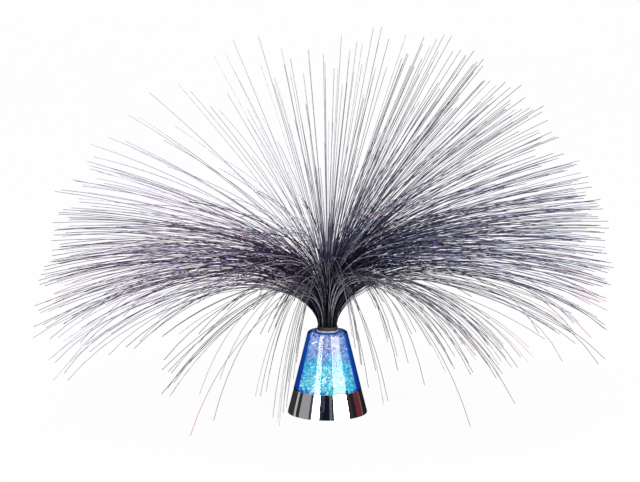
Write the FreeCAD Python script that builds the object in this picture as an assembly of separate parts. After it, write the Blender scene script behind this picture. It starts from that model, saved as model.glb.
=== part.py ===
import FreeCAD
import Part
import math
import os

from FreeCAD import Vector

# A battery fibre optic lamp. A chromed conical skirt carries a thick clear cone filled with
# iridescent film. A long ferrule stands in the cone's middle tube, over the lamp board, and holds
# a bundle of fine light guides that fall outwards like a fountain. The underside has the battery
# door and the slide switch. Millimetres, +Z up, origin on the table under the middle of the
# skirt. The front is -Y. Walls that never show are made of flats.

# ---------------------------------------------------------------- skirt
foot_diameter = 70.0
skirt_height = 21.3
skirt_top_diameter = 58.8
skirt_wall = 1.8
rib_count = 4  # inside the skirt, over the holder's plate
rib_width = 1.6
rib_depth = 2.4
rib_first_angle = 45.0

# ---------------------------------------------------------------- clear cone
base_height = 72.5  # table to the cone's flat top
dome_foot_diameter = 59.2
dome_top_diameter = 34.0  # before the shoulder is rounded
plug_wall = 1.4  # least wall of the plug
dome_wall = 3.3
dome_top_thickness = 1.6
ring_seat_depth = 4.0
shoulder_radius = 3.0
shoulder_steps = 3  # bevels that make the shoulder
spigot_clearance = 0.15
tube_wall = 1.2  # round the ring's seat
hidden_flats = 32  # flats round each wall that never shows
film_clearance = 0.3
film_top_gap = 0.4
film_over_leds = 0.6

# ---------------------------------------------------------------- ring, ferrule and bundle
ferrule_diameter = 17.7
ferrule_wall = 0.5
ferrule_proud = 4.0  # above the cone's top
ferrule_foot_gap = 0.1  # running gap over the board
core_recess = 0.3  # potted bundle below the ferrule's rim
core_foot_gap = 4.0  # board to the potted bundle, room for the lamp
tube_clearance = 0.15
ring_diameter = 19.2
ring_clearance = 0.1  # ring to ferrule, and ring to cone
ring_proud = 0.7

# ---------------------------------------------------------------- lamp board
board_across_corners = 54.4
board_corners = 8
board_thickness = 1.6
board_gap = 0.1  # board to the cone's foot
board_rib_height = 1.5
board_rib_width = 2.0
board_rib_length = 24.0
led_side = 5.0
led_height = 1.6
led_window = 3.6
led_window_depth = 0.4
glow_led_circle_radius = 18.0
glow_led_count = 4
chip_length = 4.9
chip_width = 3.9
chip_height = 1.4
resistor_length = 3.2
resistor_width = 1.6
resistor_height = 0.6
board_part_circle_radius = 17.5

# ---------------------------------------------------------------- battery holder
plate_recess = 1.0  # plate's underside above the table
plate_thickness = 2.0
plate_clearance = 0.15  # plate to skirt
cell_diameter = 10.3
cell_length = 43.6  # without the nub
nub_diameter = 3.8
nub_length = 0.9
cell_pitch = 11.2
cell_count = 3
cell_seat_gap = 0.05
bay_clearance = 0.2
bay_wall = 1.0
bay_roof = 1.2
holder_gap = 0.4  # battery box to the skirt's inside
leaf_depth = 3.2  # room for a pressed leaf contact
contact_thickness = 0.4
contact_width = 7.0

# ---------------------------------------------------------------- battery door
door_thickness = 1.8
door_clearance = 0.2
door_corner = 1.5
pin_diameter = 1.0
pin_length = 1.2
pin_clearance = 0.1
scoop_width = 12.0
scoop_reach = 3.0
scoop_depth = 1.0

# ---------------------------------------------------------------- slide switch
switch_y = 23.4
switch_length = 8.6
switch_width = 4.4
switch_height = 5.6
switch_guard_wall = 0.8
switch_guard_height = 3.0
switch_guard_gap = 0.1
knob_length = 3.4
knob_width = 2.6
knob_proud = 0.6  # below the plate, still above the table
knob_travel = 3.0
knob_lip = 0.4
knob_lip_height = 1.0
knob_clearance = 0.1
slot_clearance = 0.2
stem_width = 1.4
stem_height = 1.2
lead_width = 1.2
lead_thickness = 0.4
lead_pitch = 4.3

# ---------------------------------------------------------------- light guide strands
strand_side = 0.6  # three-sided, with the section of a 0.45 mm round strand
strand_length = 266.0  # from the ferrule's top to the tip
strand_length_spread = 6.0  # either way
strand_root_gap = 0.1  # strand to the potted bundle
bundle_clearance = 0.1
bend_crowding = 1.6  # how far the bends crowd towards the strand's foot
first_bend = 8.0  # from the strand's foot, the same in every tier so that none cross
fine_step_count = 16  # from one bend to the next
lean_spread = 1.2  # degrees either way inside one tier
sag_spread = 0.09  # share either way inside one tier
azimuth_spread = 0.11  # share of the spacing either way
golden_step = 0.618034  # step of the first even scatter
plastic_step = 0.754878  # step of the second
side_pull = 0.16  # radians by which the spray is combed towards +X and -X
right_pull = 0.12  # radians by which it is combed towards +X
front_lift = 0.05  # share of the lean that strands towards -Y and +Y lose
front_trim = 0.06  # share of the length that they lose
# Each tier is one ring of the bundle, from the middle outwards. Angles are in degrees.
tier_leans = (14.0, 23.0, 35.0, 48.0, 60.0, 68.0, 74.0, 78.0, 81.5, 84.5, 87.5, 90.0)
tier_side_sags = (0.0, 1.0, 3.0, 7.0, 12.0, 12.0, 12.0, 13.0, 14.0, 15.0, 18.0, 26.0)
tier_front_sags = (1.0, 3.0, 8.0, 15.0, 22.0, 26.0, 29.0, 32.0, 35.0, 38.0, 42.0, 48.0)
tier_necks = (54.0, 54.0, 58.0, 65.0, 68.0, 66.0, 62.0, 57.0, 52.0, 46.0, 40.0, 32.0)
tier_knees = (1.4, 1.3, 1.4, 1.4, 1.4, 1.5, 1.6, 1.6, 1.5, 1.4, 1.25, 1.0)  # 1 bends at once
tier_turns = (0.0, 0.28, 0.88, 0.48, 0.96, 0.6, 0.36, 0.98, 0.96, 0.62, 0.18, 0.88)  # of the spacing
tier_strand_counts = (2, 4, 5, 7, 9, 10, 12, 14, 15, 17, 19, 21)
tier_bend_counts = (3, 3, 4, 5, 5, 5, 5, 5, 5, 5, 5, 6)

# ---------------------------------------------------------------- sizes worked out from those above
flat_share = math.cos(math.pi / hidden_flats)  # apothem of a hidden wall over its radius
plate_top = plate_recess + plate_thickness
bay_radius = cell_diameter / 2 + bay_clearance
bay_length = leaf_depth + cell_length + nub_length + contact_thickness
cell_z = plate_top + cell_seat_gap + cell_diameter / 2
cell_rows = [(i - (cell_count - 1) / 2) * cell_pitch for i in range(cell_count)]
bays_width = (cell_count - 1) * cell_pitch + 2 * bay_radius
box_top = cell_z + bay_radius + bay_roof
board_bottom = box_top + board_rib_height
board_top = board_bottom + board_thickness
door_length = bay_length - 2 * door_clearance
door_width = bays_width - 2 * door_clearance
hinge_x = -(door_length - door_thickness) / 2
hinge_z = plate_recess + door_thickness / 2
knob_rest_x = -knob_travel / 2
dome_foot = board_top + board_gap
dome_ceiling = base_height - dome_top_thickness
ferrule_radius = ferrule_diameter / 2
ferrule_foot = board_top + ferrule_foot_gap
ferrule_top = base_height + ferrule_proud
tube_bore_radius = ferrule_radius + tube_clearance
ring_seat_radius = ring_diameter / 2 + ring_clearance
ring_seat_floor = base_height - ring_seat_depth
tube_radius = (ring_seat_radius + tube_wall) / flat_share
core_top = ferrule_top - core_recess
core_radius = ferrule_radius - ferrule_wall
plug_radius = skirt_top_diameter / 2 - skirt_wall - spigot_clearance
spray_radius = core_radius - bundle_clearance - strand_side / 2
tier_count = len(tier_leans)
tier_pitch = spray_radius / tier_count


def skirt_radius(z):
    """Outer radius of the skirt at height z."""
    taper = (foot_diameter - skirt_top_diameter) / (2 * skirt_height)
    return foot_diameter / 2 - taper * z


def dome_radius(z):
    """Outer radius of the clear cone at height z, leaving out its shoulder."""
    taper = (dome_foot_diameter - dome_top_diameter) / (2 * (base_height - skirt_height))
    return dome_foot_diameter / 2 - taper * (z - skirt_height)


# ---------------------------------------------------------------- small helpers
def turned(corners):
    """A solid of revolution about Z with straight sides between (radius, z) corners."""
    points = [Vector(radius, 0, z) for radius, z in corners]
    face = Part.Face(Part.makePolygon(points + points[:1]))
    return face.revolve(Vector(0, 0, 0), Vector(0, 0, 1), 360)


def many_sided(low_radius, low_z, high_radius, high_z, sides=hidden_flats):
    """A taper with flat sides, its radii measured to the corners and a side facing +X."""
    rings = []
    for radius, z in ((low_radius, low_z), (high_radius, high_z)):
        rings.append([polar(radius, 360 * (i + 0.5) / sides, z) for i in range(sides)])
    low, high = rings
    faces = [flat(low), flat(high)]
    for i in range(sides):
        j = (i + 1) % sides
        faces.append(flat([low[i], low[j], high[j], high[i]]))
    return Part.Solid(Part.Shell(faces))


def flat(points):
    return Part.Face(Part.makePolygon(list(points) + [points[0]]))


def polar(radius, degrees, z=0.0):
    angle = math.radians(degrees)
    return Vector(radius * math.cos(angle), radius * math.sin(angle), z)


def block(x, y, z, length, width, height):
    """A box centred on x and y, with its underside at z."""
    return Part.makeBox(length, width, height, Vector(x - length / 2, y - width / 2, z))


def rod(radius, length, base, direction):
    return Part.makeCylinder(radius, length, base, direction)


# ---------------------------------------------------------------- skirt
def skirt_inside(gap=0.0):
    """The space inside the skirt, pulled in by a gap."""
    low = skirt_radius(0) - skirt_wall - gap
    high = skirt_radius(skirt_height) - skirt_wall - gap
    return many_sided(low, 0, high, skirt_height)


def chrome_skirt():
    cone = turned(
        [
            (0, 0),
            (foot_diameter / 2, 0),
            (skirt_top_diameter / 2, skirt_height),
            (0, skirt_height),
        ]
    )
    ribs = []
    for i in range(rib_count):
        height = board_bottom - plate_top
        reach = skirt_radius(plate_top)
        inner = flat_share * (skirt_radius(plate_top) - skirt_wall) - rib_depth
        rib = block((inner + reach) / 2, 0, plate_top, reach - inner, rib_width, height)
        turn = rib_first_angle + 360 * i / rib_count
        ribs.append(rib.rotate(Vector(0, 0, 0), Vector(0, 0, 1), turn))
    room = skirt_inside()
    for rib in ribs:
        room = room.cut(rib)
    return cone.cut(room).removeSplitter()


# ---------------------------------------------------------------- battery holder
def bay(y):
    """Empty space for one cell: a round roof over straight sides, open downwards."""
    along = Vector(1, 0, 0)
    roof = rod(bay_radius, bay_length, Vector(-bay_length / 2, y, cell_z), along)
    sides = block(0, y, plate_top, bay_length, 2 * bay_radius, cell_z - plate_top)
    below = block(0, y, 0, bay_length, 2 * bay_radius, plate_top)
    return roof.fuse(sides).cut(below)


def battery_box():
    """Outside of the box over the bays, its top edges sloped off round the outer cells."""
    half_length = bay_length / 2 + bay_wall
    half_width = bays_width / 2 + bay_wall
    slope = (math.sqrt(2) - 1) * (bay_radius + bay_wall)
    shoulder = cell_z + slope
    roof_half_width = half_width - (box_top - shoulder)
    section = [
        Vector(-half_length, -half_width, plate_top),
        Vector(-half_length, half_width, plate_top),
        Vector(-half_length, half_width, shoulder),
        Vector(-half_length, roof_half_width, box_top),
        Vector(-half_length, -roof_half_width, box_top),
        Vector(-half_length, -half_width, shoulder),
    ]
    return flat(section).extrude(Vector(2 * half_length, 0, 0))


def hinge_sockets():
    """Two blind holes for the door's pins, as one bar across the opening."""
    reach = door_width / 2 + pin_length + pin_clearance
    start = Vector(hinge_x, -reach, hinge_z)
    return rod(pin_diameter / 2 + pin_clearance, 2 * reach, start, Vector(0, 1, 0))


def fingernail_scoop():
    x = (bay_length + scoop_reach) / 2
    return block(x, 0, plate_recess, scoop_reach, scoop_width, scoop_depth)


def knob_slot():
    length = knob_length + knob_travel + 2 * slot_clearance
    width = knob_width + 2 * slot_clearance
    return block(0, switch_y, plate_recess, length, width, plate_thickness)


def switch_guards():
    """Two low walls that hold the switch at its ends."""
    x = switch_length / 2 + switch_guard_gap + switch_guard_wall / 2
    size = (switch_guard_wall, switch_width, switch_guard_height)
    return [block(side * x, switch_y, plate_top, *size) for side in (-1, 1)]


def battery_holder():
    """Bottom plate, battery box, switch walls and board ribs in one moulding."""
    radius = flat_share * (skirt_radius(plate_top) - skirt_wall) - plate_clearance
    plate = rod(radius, plate_thickness, Vector(0, 0, plate_recess), Vector(0, 0, 1))
    box = battery_box().common(skirt_inside(holder_gap))
    ribs = [
        block(side * bay_length / 4, 0, box_top, board_rib_width, board_rib_length, board_rib_height)
        for side in (-1, 1)
    ]
    holder = plate.fuse([box] + ribs + switch_guards())
    opening = door_plate(bay_length, bays_width, plate_thickness)
    hollows = [opening, hinge_sockets(), fingernail_scoop(), knob_slot()]
    return holder.cut(hollows + [bay(y) for y in cell_rows]).removeSplitter()


# ---------------------------------------------------------------- battery door
def door_plate(length, width, thickness):
    """A flat plate level with the holder's underside, round at the corners of its free end, +X."""
    plate = block(0, 0, plate_recess, length, width, thickness)
    upright = [edge for edge in plate.Edges if edge.BoundBox.ZLength > thickness / 2]
    return plate.makeFillet(door_corner, [edge for edge in upright if edge.CenterOfMass.x > 0])


def battery_door():
    """A flat door with a round hinge edge and a pin at each end of it."""
    across = Vector(0, 1, 0)
    slab = door_plate(door_length, door_width, door_thickness)
    hinge_end = block(-door_length / 2, 0, 0, door_thickness, door_width, 2 * plate_top)
    barrel_start = Vector(hinge_x, -door_width / 2, hinge_z)
    barrel = rod(door_thickness / 2, door_width, barrel_start, across)
    pins = door_width + 2 * pin_length
    pin = rod(pin_diameter / 2, pins, Vector(hinge_x, -pins / 2, hinge_z), across)
    return slab.cut(hinge_end).fuse([barrel, pin]).removeSplitter()


# ---------------------------------------------------------------- cells and contacts
def cell_ends(index):
    """Direction of a cell's positive end, and the x of both ends of its can."""
    direction = 1 if index % 2 == 0 else -1
    negative = direction * (leaf_depth - bay_length / 2)
    return direction, negative, negative + direction * cell_length


def battery_cells():
    cells = []
    for index, y in enumerate(cell_rows):
        direction, negative, positive = cell_ends(index)
        along = Vector(direction, 0, 0)
        can = rod(cell_diameter / 2, cell_length, Vector(negative, y, cell_z), along)
        nub = rod(nub_diameter / 2, nub_length, Vector(positive, y, cell_z), along)
        cells.append(can.fuse(nub).removeSplitter())
    return Part.makeCompound(cells)


def flat_contacts():
    """A flat tab on the end wall of each bay, against the cell's nub."""
    tabs = []
    for index, y in enumerate(cell_rows):
        direction, _, positive = cell_ends(index)
        x = positive + direction * (nub_length + contact_thickness / 2)
        bottom = cell_z - contact_width / 2
        tabs.append(block(x, y, bottom, contact_thickness, contact_width, contact_width))
    return Part.makeCompound(tabs)


def leaf_contacts():
    """A bent leaf on the other end wall of each bay, pressed back by the cell."""
    leaves = []
    half = contact_width / 2
    for index, y in enumerate(cell_rows):
        direction, negative, _ = cell_ends(index)
        thickness = direction * contact_thickness
        wall = negative - direction * leaf_depth
        tip = negative
        outline = [
            (wall, cell_z - half),
            (wall + thickness, cell_z - half),
            (wall + thickness, cell_z + half - 2 * contact_thickness),
            (tip - thickness, cell_z),
            (tip - thickness, cell_z - half / 2),
            (tip, cell_z - half / 2),
            (tip, cell_z + contact_thickness / 2),
            (wall + thickness, cell_z + half),
            (wall, cell_z + half),
        ]
        side = flat([Vector(x, y - half, z) for x, z in outline])
        leaves.append(side.extrude(Vector(0, contact_width, 0)))
    return Part.makeCompound(leaves)


# ---------------------------------------------------------------- slide switch
def knob_block(z, height, growth=0.0, travel=0.0, x=0.0):
    """A block round the knob's outline, widened by a growth and by the knob's travel."""
    length = knob_length + 2 * growth + travel
    return block(x, switch_y, z, length, knob_width + 2 * growth, height)


def stem_block(z, height, clearance=0.0, travel=0.0, x=0.0):
    length = stem_width + 2 * clearance + travel
    return block(x, switch_y, z, length, stem_width + 2 * clearance, height)


def switch_body():
    """The switch's case, hollow below for the knob's lip and stem."""
    case = block(0, switch_y, plate_top, switch_length, switch_width, switch_height)
    lip_room = knob_lip_height + 2 * knob_clearance
    stem_room = stem_height + knob_clearance
    lip_space = knob_block(plate_top, lip_room, knob_lip + knob_clearance, knob_travel)
    stem_space = stem_block(plate_top + lip_room, stem_room, knob_clearance, knob_travel)
    return case.cut([lip_space, stem_space])


def switch_knob():
    """The knob in its slot, its lip over the plate and its stem into the switch."""
    bottom = plate_recess - knob_proud
    lip_bottom = plate_top + knob_clearance
    lip_top = lip_bottom + knob_lip_height
    grip = knob_block(bottom, lip_bottom - bottom, x=knob_rest_x)
    lip = knob_block(lip_bottom, knob_lip_height, knob_lip, x=knob_rest_x)
    stem = stem_block(lip_top, stem_height, x=knob_rest_x)
    return grip.fuse([lip, stem]).removeSplitter()


def switch_leads():
    """Two flat leads from the switch up to the board."""
    bottom = plate_top + switch_height
    size = (lead_width, lead_thickness, board_bottom - bottom)
    return Part.makeCompound(
        [block(side * lead_pitch / 2, switch_y, bottom, *size) for side in (-1, 1)]
    )


# ---------------------------------------------------------------- lamp board
def led_board():
    radius = board_across_corners / 2
    return many_sided(radius, board_bottom, radius, board_top, board_corners)


def led(x, y):
    package = block(x, y, board_top, led_side, led_side, led_height)
    window_floor = board_top + led_height - led_window_depth
    return package.cut(block(x, y, window_floor, led_window, led_window, led_window_depth))


def glow_leds():
    places = [polar(glow_led_circle_radius, 360 * i / glow_led_count) for i in range(glow_led_count)]
    return Part.makeCompound([led(place.x, place.y) for place in places])


def board_parts():
    """The colour-changing chip, and a resistor for each colour."""
    chip = (chip_length, chip_width, chip_height)
    resistor = (resistor_length, resistor_width, resistor_height)
    parts = []
    for i, size in enumerate((chip, resistor, resistor, resistor)):
        place = polar(board_part_circle_radius, 45 + 90 * i)
        parts.append(block(place.x, place.y, board_top, *size))
    return Part.makeCompound(parts)


# ---------------------------------------------------------------- clear cone and film
def shoulder_points():
    """The rounded shoulder between the cone's side and its top, as short bevels."""
    rise = base_height - skirt_height
    run = (dome_foot_diameter - dome_top_diameter) / 2
    side = math.atan2(run, rise)  # taper from the vertical, and direction of the side's normal
    setback = shoulder_radius * math.tan((math.pi / 2 - side) / 2)
    centre_r = dome_top_diameter / 2 - setback
    centre_z = base_height - shoulder_radius
    points = []
    for i in range(shoulder_steps + 1):
        angle = side + (math.pi / 2 - side) * i / shoulder_steps
        r = centre_r + shoulder_radius * math.cos(angle)
        points.append((r, centre_z + shoulder_radius * math.sin(angle)))
    return points


def cavity_radius(z):
    """Radius of the space inside the clear wall; its foot leaves the plug a full wall."""
    foot = min(dome_radius(dome_foot) - dome_wall, plug_radius - plug_wall)
    ceiling = dome_radius(dome_ceiling) - dome_wall
    return foot + (ceiling - foot) * (z - dome_foot) / (dome_ceiling - dome_foot)


def dome_cavity(gap=0.0, low=dome_foot, high=dome_ceiling):
    """The space inside the clear wall, pulled in by a gap, between two heights."""
    return many_sided(cavity_radius(low) - gap, low, cavity_radius(high) - gap, high)


def clear_dome():
    """Tapered wall, plug into the skirt, and middle tube, in one clear moulding."""
    outside = turned(
        [(ring_seat_radius, skirt_height), (dome_foot_diameter / 2, skirt_height)]
        + shoulder_points()
        + [(ring_seat_radius, base_height)]
    )
    plug = many_sided(plug_radius, dome_foot, plug_radius, skirt_height)
    tube = many_sided(tube_radius, dome_foot, tube_radius, dome_ceiling)
    shell = outside.fuse(plug).cut(dome_cavity()).fuse(tube)
    upward = Vector(0, 0, 1)
    bore = rod(tube_bore_radius, base_height, Vector(0, 0, 0), upward)
    ring_seat = rod(ring_seat_radius, ring_seat_depth, Vector(0, 0, ring_seat_floor), upward)
    return shell.cut([bore, ring_seat]).removeSplitter()


def iridescent_film():
    """The crumpled film packed round the tube, as one closed ring."""
    bottom = board_top + led_height + film_over_leds
    top = dome_ceiling - film_top_gap
    hole_radius = tube_radius + film_clearance
    hole = many_sided(hole_radius, bottom, hole_radius, top)
    return dome_cavity(film_clearance, bottom, top).cut(hole)


# ---------------------------------------------------------------- ring and ferrule
def sleeve(outer_radius, inner_radius, bottom, top):
    return turned(
        [(inner_radius, bottom), (outer_radius, bottom), (outer_radius, top), (inner_radius, top)]
    )


def turning_ring():
    """The white ring in the cone's top that the ferrule turns with and lifts out of."""
    inner = ferrule_radius + ring_clearance
    return sleeve(ring_diameter / 2, inner, ring_seat_floor, base_height + ring_proud)


def ferrule():
    return sleeve(ferrule_radius, core_radius, ferrule_foot, ferrule_top)


def bundle_core():
    """The strands' lower ends, potted and polished into one light guide."""
    return many_sided(core_radius, board_top + core_foot_gap, core_radius, core_top)


# ---------------------------------------------------------------- strands
def strand_angle(travelled, lean, sag, neck, knee, length):
    """Angle from the vertical, in radians, at a distance along a strand."""
    taken_up = 1 - math.exp(-((travelled / neck) ** knee))
    return math.radians(lean * taken_up + sag * (travelled / length) ** 2)


def strand_path(tier, lean, sag, length):
    """Centre line of one strand in its own upright plane, as (distance from the axis, z)."""
    bend_count = tier_bend_counts[tier]
    neck = tier_necks[tier]
    r, z = tier_pitch * (tier + 1), core_top + strand_root_gap
    points = [(r, z)]
    travelled = 0.0
    for bend in range(bend_count):
        share = (bend / (bend_count - 1)) ** bend_crowding
        step = (first_bend + (length - first_bend) * share - travelled) / fine_step_count
        for _ in range(fine_step_count):
            travelled += step
            angle = strand_angle(travelled, lean, sag, neck, tier_knees[tier], length)
            r += step * math.sin(angle)
            z += step * math.cos(angle)
        points.append((r, z))
    return points


def strand(path, azimuth):
    """A three-sided rod along the path, mitred at its bends, turned to its azimuth in degrees."""
    half = strand_side / 2
    headings = [math.atan2(z1 - z0, r1 - r0) for (r0, z0), (r1, z1) in zip(path, path[1:])]
    rows = [[], [], []]  # the two upper edges, and the lower one
    for i, (r, z) in enumerate(path):
        before = headings[max(i - 1, 0)]
        after = headings[min(i, len(headings) - 1)]
        normal = (before + after) / 2 + math.pi / 2
        reach = strand_side / math.sqrt(3) / math.cos((after - before) / 2)
        across = Vector(math.cos(normal), 0, math.sin(normal)) * reach
        centre = Vector(r, 0, z)
        rows[0].append(centre + across * 0.5 + Vector(0, -half, 0))
        rows[1].append(centre + across * 0.5 + Vector(0, half, 0))
        rows[2].append(centre - across)
    faces = [flat([row[0] for row in rows]), flat([row[-1] for row in rows])]
    for one, other in ((0, 1), (1, 2), (2, 0)):
        a, b = rows[one], rows[other]
        faces += [flat([a[i], b[i], b[i + 1], a[i + 1]]) for i in range(len(path) - 1)]
    solid = Part.Solid(Part.Shell(faces))
    return solid.rotate(Vector(0, 0, 0), Vector(0, 0, 1), azimuth)


def wander(number, step):
    """An even but irregular value from -1 to 1 for each whole number."""
    return 2 * ((number * step) % 1.0) - 1


def strand_tier(tier):
    """All the strands of one ring of the bundle."""
    count = tier_strand_counts[tier]
    first = sum(tier_strand_counts[:tier])
    strands = []
    for k in range(count):
        number = first + k + 1
        place = k + tier_turns[tier] + azimuth_spread * wander(number, golden_step)
        turn = 2 * math.pi * place / count
        azimuth = turn - side_pull * math.sin(2 * turn) - right_pull * math.sin(turn)
        frontness = math.sin(azimuth) ** 2
        lean = tier_leans[tier] * (1 - front_lift * frontness)
        lean += lean_spread * wander(number, plastic_step)
        sag = tier_side_sags[tier] * (1 - frontness) + tier_front_sags[tier] * frontness
        sag *= 1 + sag_spread * wander(number, plastic_step**2)
        length = strand_length * (1 - front_trim * frontness)
        length += strand_length_spread * wander(number, golden_step**2)
        path = strand_path(tier, lean, sag, length)
        strands.append(strand(path, math.degrees(azimuth)))
    return Part.makeCompound(strands)


# ---------------------------------------------------------------- one file for each piece
def pieces():
    named = {
        "chrome_skirt": chrome_skirt(),
        "battery_holder": battery_holder(),
        "battery_door": battery_door(),
        "battery_cells": battery_cells(),
        "flat_contacts": flat_contacts(),
        "leaf_contacts": leaf_contacts(),
        "switch_body": switch_body(),
        "switch_knob": switch_knob(),
        "switch_leads": switch_leads(),
        "led_board": led_board(),
        "centre_led": led(0, 0),
        "glow_leds": glow_leds(),
        "board_parts": board_parts(),
        "clear_dome": clear_dome(),
        "iridescent_film": iridescent_film(),
        "turning_ring": turning_ring(),
        "ferrule": ferrule(),
        "bundle_core": bundle_core(),
    }
    for tier in range(tier_count):
        named[f"strand_tier_{tier + 1:02d}"] = strand_tier(tier)
    return named


def main():
    os.makedirs("parts", exist_ok=True)
    for name, shape in pieces().items():
        shape.exportStep(f"parts/{name}.step")


main()
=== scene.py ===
import math
import random

import bpy
from mathutils import Matrix, Vector, noise


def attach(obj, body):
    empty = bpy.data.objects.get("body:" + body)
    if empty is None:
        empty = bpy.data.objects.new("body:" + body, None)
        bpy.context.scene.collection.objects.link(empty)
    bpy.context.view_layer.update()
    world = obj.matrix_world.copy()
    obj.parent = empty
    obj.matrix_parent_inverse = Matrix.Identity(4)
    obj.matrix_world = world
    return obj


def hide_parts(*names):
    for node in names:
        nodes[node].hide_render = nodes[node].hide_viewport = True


# A battery fibre optic lamp: chromed skirt, thick clear blue cone with crumpled film inside,
# white turning ring, dark ferrule and a spray of light guides. Metres, front is -Y.

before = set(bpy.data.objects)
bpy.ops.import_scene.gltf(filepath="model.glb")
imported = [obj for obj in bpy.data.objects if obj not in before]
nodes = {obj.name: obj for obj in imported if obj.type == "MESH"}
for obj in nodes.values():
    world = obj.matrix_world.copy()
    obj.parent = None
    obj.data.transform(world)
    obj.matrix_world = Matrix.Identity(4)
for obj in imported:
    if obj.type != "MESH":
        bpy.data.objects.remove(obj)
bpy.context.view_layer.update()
print("frame loaded:", len(nodes), "nodes")


# small mesh and node helpers
def newPiece(name, verts, faces, material, smooth=True):
    mesh = bpy.data.meshes.new(name)
    mesh.from_pydata(verts, [], faces)
    mesh.update()
    mesh.polygons.foreach_set("use_smooth", [smooth] * len(mesh.polygons))
    mesh.materials.append(material)
    piece = bpy.data.objects.new(name, mesh)
    bpy.context.scene.collection.objects.link(piece)
    return piece


def turnedVerts(outline, segments):
    # closed outline of (r, z) points turned about the upright axis
    verts, faces = [], []
    count = len(outline)
    for k in range(segments):
        angle = 2 * math.pi * k / segments
        verts += [(r * math.cos(angle), r * math.sin(angle), z) for r, z in outline]
    for k in range(segments):
        here, after = k * count, ((k + 1) % segments) * count
        for i in range(count):
            j = (i + 1) % count
            faces.append((here + i, after + i, after + j, here + j))
    return verts, faces


def roundedOutline(corners, steps=4):
    # corners are (r, z, radius); each is replaced by a short arc of that radius
    points = []
    count = len(corners)
    for i, (r, z, radius) in enumerate(corners):
        here = Vector((r, z))
        if radius <= 0:
            points.append((r, z))
            continue
        before = (Vector(corners[i - 1][:2]) - here).normalized()
        after = (Vector(corners[(i + 1) % count][:2]) - here).normalized()
        half = before.angle(after) / 2
        setback = radius / math.tan(half)
        centre = here + (before + after).normalized() * (radius / math.sin(half))
        start = here + before * setback - centre
        end = here + after * setback - centre
        sweep = start.angle_signed(end)
        for k in range(steps + 1):
            spoke = start.copy()
            spoke.rotate(Matrix.Rotation(-sweep * k / steps, 2))
            points.append(tuple(centre + spoke))
    return points


def turnedPiece(name, corners, material, segments=160, steps=4):
    verts, faces = turnedVerts(roundedOutline(corners, steps), segments)
    piece = newPiece(name, verts, faces, material)
    piece.data.set_sharp_from_angle(angle=math.radians(35))
    return piece


def newMaterial(name):
    material = bpy.data.materials.new(name)
    material.use_nodes = True
    tree = material.node_tree
    shader = tree.nodes["Principled BSDF"]
    return material, tree, shader


def addNode(tree, kind, values=None, **settings):
    node = tree.nodes.new(kind)
    for key, value in settings.items():
        setattr(node, key, value)
    for key, value in (values or {}).items():
        node.inputs[key].default_value = value
    return node


def noiseNode(tree, scale, detail=4.0, stretch=None):
    coords = addNode(tree, "ShaderNodeTexCoord")
    grain = addNode(tree, "ShaderNodeTexNoise", {"Scale": scale, "Detail": detail})
    out = coords.outputs["Object"]
    if stretch:
        mapping = addNode(tree, "ShaderNodeMapping", {"Scale": stretch})
        tree.links.new(out, mapping.inputs["Vector"])
        out = mapping.outputs["Vector"]
    tree.links.new(out, grain.inputs["Vector"])
    return grain


def ramp(tree, source, stops):
    node = addNode(tree, "ShaderNodeValToRGB")
    elements = node.color_ramp.elements
    while len(elements) < len(stops):
        elements.new(0.5)
    for element, (place, colour) in zip(elements, stops):
        element.position = place
        element.color = (*colour, 1)
    tree.links.new(source, node.inputs["Fac"])
    return node.outputs["Color"]


def bump(tree, shader, height, strength, distance=0.0002):
    node = addNode(tree, "ShaderNodeBump", {"Strength": strength, "Distance": distance})
    tree.links.new(height, node.inputs["Height"])
    tree.links.new(node.outputs["Normal"], shader.inputs["Normal"])


def grey(value):
    return (value, value, value)


def grained(tree, shader, grain, stops, roughness):
    # colour and roughness that follow the same grain
    colour = ramp(tree, grain.outputs["Fac"], stops)
    tree.links.new(colour, shader.inputs["Base Color"])
    smooth, dull = roughness
    rough = ramp(tree, grain.outputs["Fac"], [(0.3, grey(smooth)), (0.7, grey(dull))])
    tree.links.new(rough, shader.inputs["Roughness"])


def moulded(name, dark, light, roughness, scale, strength):
    # plastic with a fine eroded texture
    material, tree, shader = newMaterial(name)
    grain = noiseNode(tree, scale)
    grained(tree, shader, grain, [(0.35, dark), (0.7, light)], roughness)
    bump(tree, shader, grain.outputs["Fac"], strength, 0.0001)
    return material


def metal(name, colour, roughness, scale, stretch=None, strength=0.05):
    material, tree, shader = newMaterial(name)
    grain = noiseNode(tree, scale, 5.0, stretch)
    dull = tuple(c * 0.86 for c in colour)
    grained(tree, shader, grain, [(0.3, dull), (0.65, colour)], roughness)
    shader.inputs["Metallic"].default_value = 1.0
    bump(tree, shader, grain.outputs["Fac"], strength, 0.00005)
    return material


def directView(tree):
    # 1 for rays from the camera, from gloss or through clear plastic, and 0 for all others
    path = addNode(tree, "ShaderNodeLightPath")
    value = path.outputs["Is Camera Ray"]
    for kind in ("Is Glossy Ray", "Is Transmission Ray"):
        either = addNode(tree, "ShaderNodeMath", operation="MAXIMUM")
        tree.links.new(value, either.inputs[0])
        tree.links.new(path.outputs[kind], either.inputs[1])
        value = either.outputs[0]
    return value


def mixShaders(tree, share, first, second):
    mix = addNode(tree, "ShaderNodeMixShader")
    tree.links.new(share, mix.inputs["Fac"])
    tree.links.new(first.outputs[0], mix.inputs[1])
    tree.links.new(second.outputs[0], mix.inputs[2])
    return mix


def paint(piece, name, domain, colours):
    layer = piece.data.attributes.new(name, "FLOAT_COLOR", domain)
    layer.data.foreach_set("color", [v for colour in colours for v in (*colour, 1)])


def dress(nodeName, material):
    node = nodes[nodeName]
    node.data.materials.clear()
    node.data.materials.append(material)


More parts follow.
